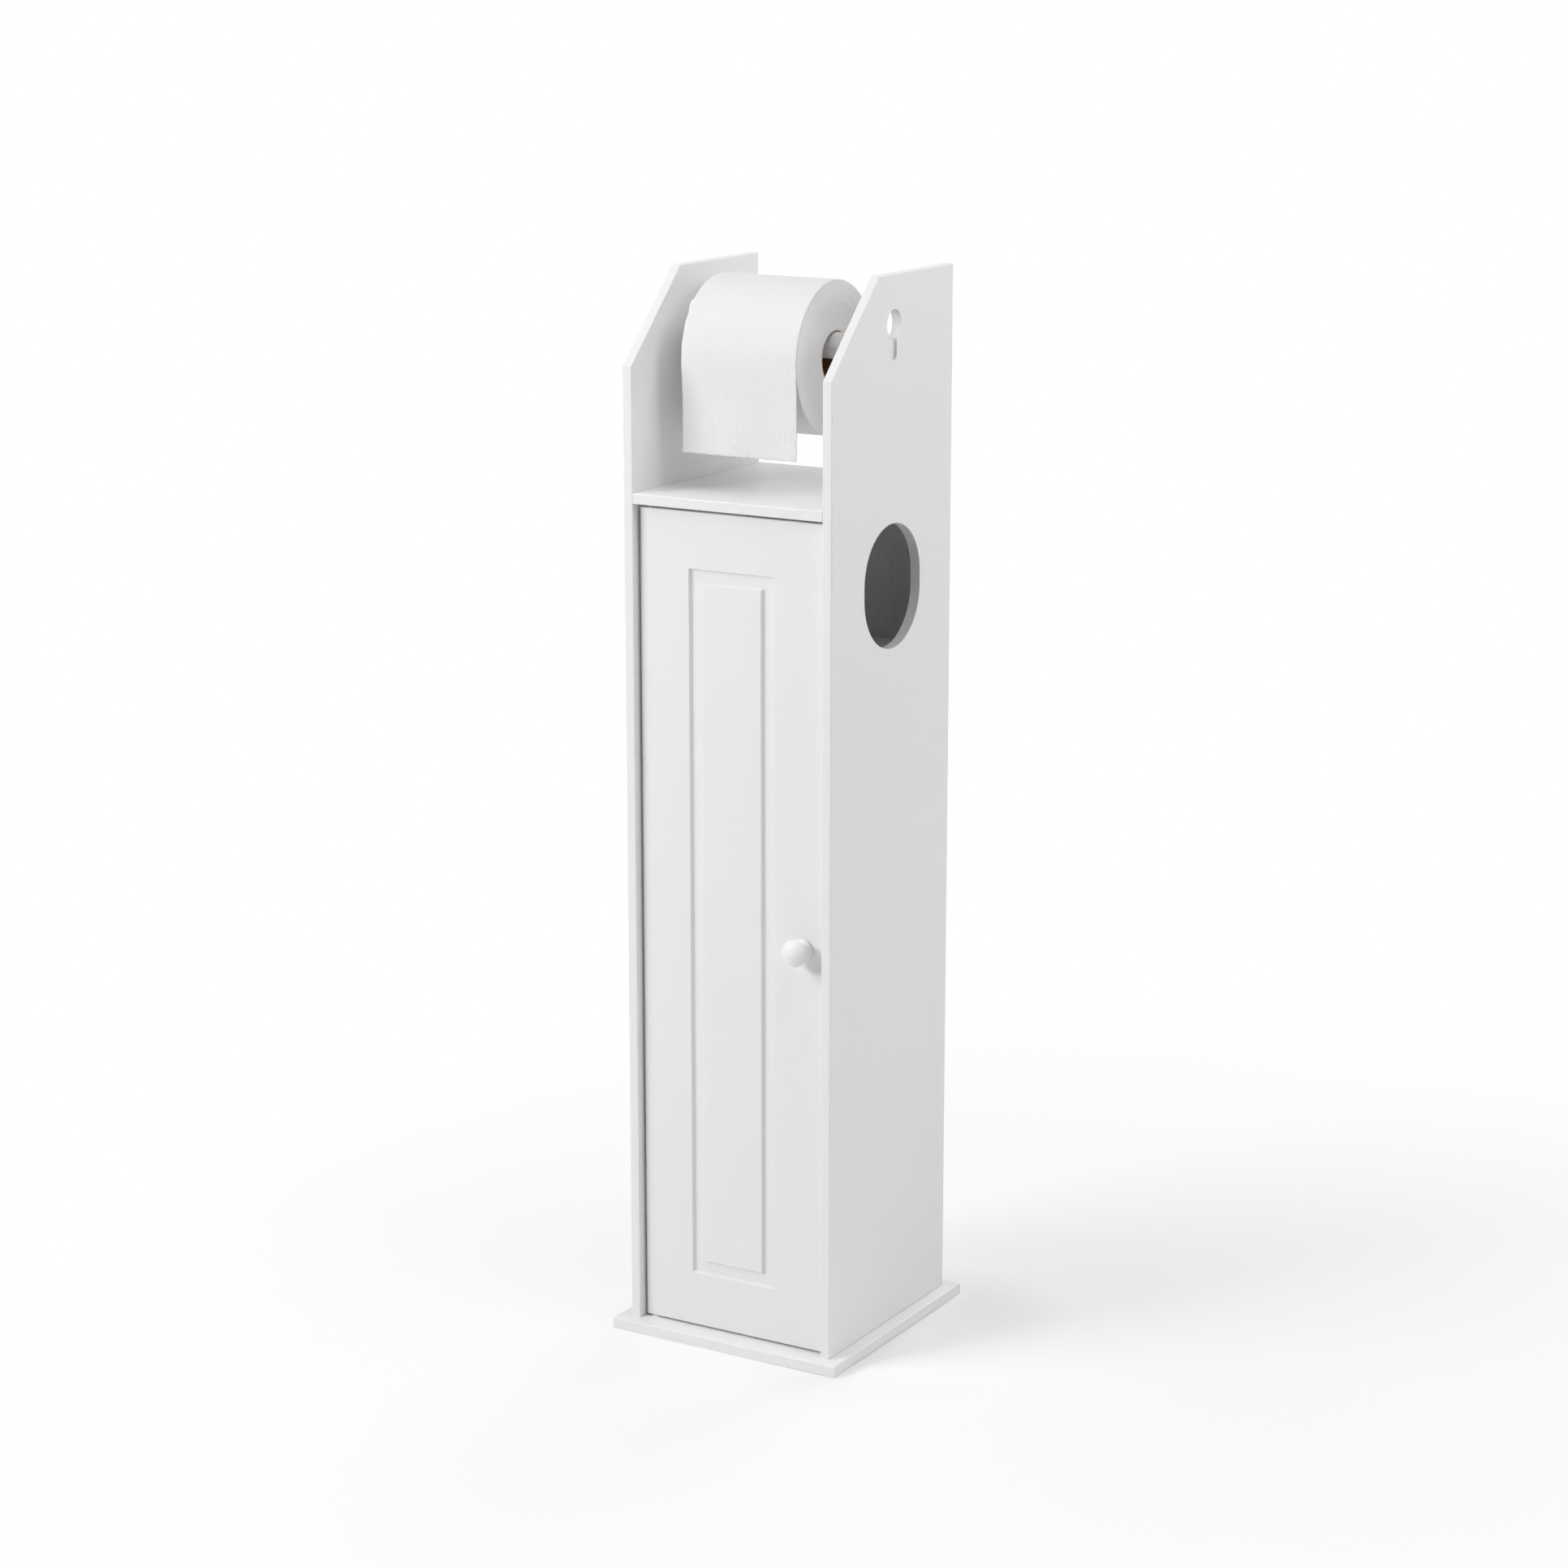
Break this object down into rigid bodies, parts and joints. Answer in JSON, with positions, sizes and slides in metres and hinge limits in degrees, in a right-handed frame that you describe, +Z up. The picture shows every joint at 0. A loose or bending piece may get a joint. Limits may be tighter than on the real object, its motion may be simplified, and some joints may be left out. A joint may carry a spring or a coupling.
{
  "type": "toilet roll storage cabinet",
  "caption": "Tall narrow free-standing bathroom cabinet with a roll rod in keyhole slots above a hinged panelled door and an oval side opening.",
  "frame": {"origin": "centre of the underside of the base plate, on the floor", "axes": "+X to the right as seen from the front, +Y from the door towards the back, +Z up"},
  "size_m": [0.19, 0.196, 0.785],
  "materials": {
    "white_board": "white satin lacquer on fibreboard",
    "back_board": "white coated hardboard",
    "white_knob": "white gloss lacquer on turned wood",
    "white_rod": "white satin lacquer on turned wood",
    "zinc_steel": "zinc plated",
    "white_nylon": "moulded",
    "beech": "bare fluted dowel",
    "ferrite": "pressed ceramic magnet",
    "cardboard": "bare spiral-wound board",
    "tissue_paper": "embossed tissue"
  },
  "bodies": {
    "cabinet": {"base_plate": "white_board", "left_side_panel": "white_board", "right_side_panel": "white_board", "top_shelf": "white_board", "inner_shelf": "white_board", "back_panel": "back_board", "base_screws": "zinc_steel", "shelf_dowels": "beech", "shelf_pegs": "zinc_steel", "upper_pivot_bush": "white_nylon", "lower_pivot_bush": "white_nylon", "lower_pivot_washer": "zinc_steel", "catch_housing": "white_nylon", "catch_magnet": "ferrite", "catch_pole_plates": "zinc_steel", "catch_screws": "zinc_steel"},
    "door": {"door_panel": "white_board", "upper_pivot_pin": "white_nylon", "lower_pivot_pin": "white_nylon", "door_knob": "white_knob", "knob_screw": "zinc_steel", "strike_plate": "zinc_steel", "strike_screw": "zinc_steel"},
    "rod": {"roll_rod": "white_rod", "hanging_sheet": "tissue_paper"},
    "roll": {"roll_core": "cardboard", "paper_roll": "tissue_paper"}
  },
  "joints": [
    {"name": "door_hinge", "type": "hinge", "parent": "cabinet", "child": "door", "pos_m": [-0.069, -0.07675, 0.315], "axis": [0, 0, -1], "range_deg": [0, 110]},
    {"name": "rod_lift", "type": "slide", "parent": "cabinet", "child": "rod", "axis": [0, 0, 1], "range_m": [0, 0.0177]},
    {"name": "roll_spin", "type": "hinge", "parent": "rod", "child": "roll", "pos_m": [-0.009, 0, 0.72335], "axis": [1, 0, 0], "continuous": true}
  ]
}
